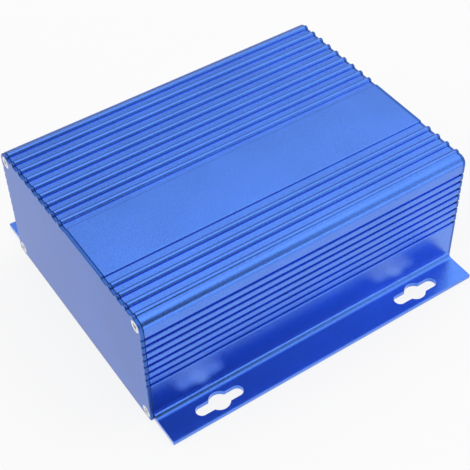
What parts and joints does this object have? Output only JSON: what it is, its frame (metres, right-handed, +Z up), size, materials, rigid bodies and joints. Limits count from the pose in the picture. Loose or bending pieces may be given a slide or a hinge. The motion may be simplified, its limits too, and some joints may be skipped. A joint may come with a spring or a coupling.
{
  "type": "extruded aluminium enclosure",
  "caption": "Blue anodised extruded case for electronics, with a ribbed tube, screwed flat end plates and a wall-mount flange with keyholes along each side.",
  "frame": {"origin": "underside of the flanges, in the middle of the case", "axes": "+Y along the extrusion towards the rear plate, +X across the case towards the side with fewer ribs, +Z up through the ribbed top"},
  "size_m": [0.1378, 0.1484, 0.0575],
  "materials": {
    "shell": "satin blue anodised",
    "plates": "matte blue anodised",
    "screws": "bright zinc plated"
  },
  "bodies": {
    "root": {"shell": "shell", "front_plate": "plates", "rear_plate": "plates", "screw_front_top_left": "screws", "screw_front_top_right": "screws", "screw_front_bottom_left": "screws", "screw_front_bottom_right": "screws", "screw_rear_top_left": "screws", "screw_rear_top_right": "screws", "screw_rear_bottom_left": "screws", "screw_rear_bottom_right": "screws"}
  },
  "joints": []
}
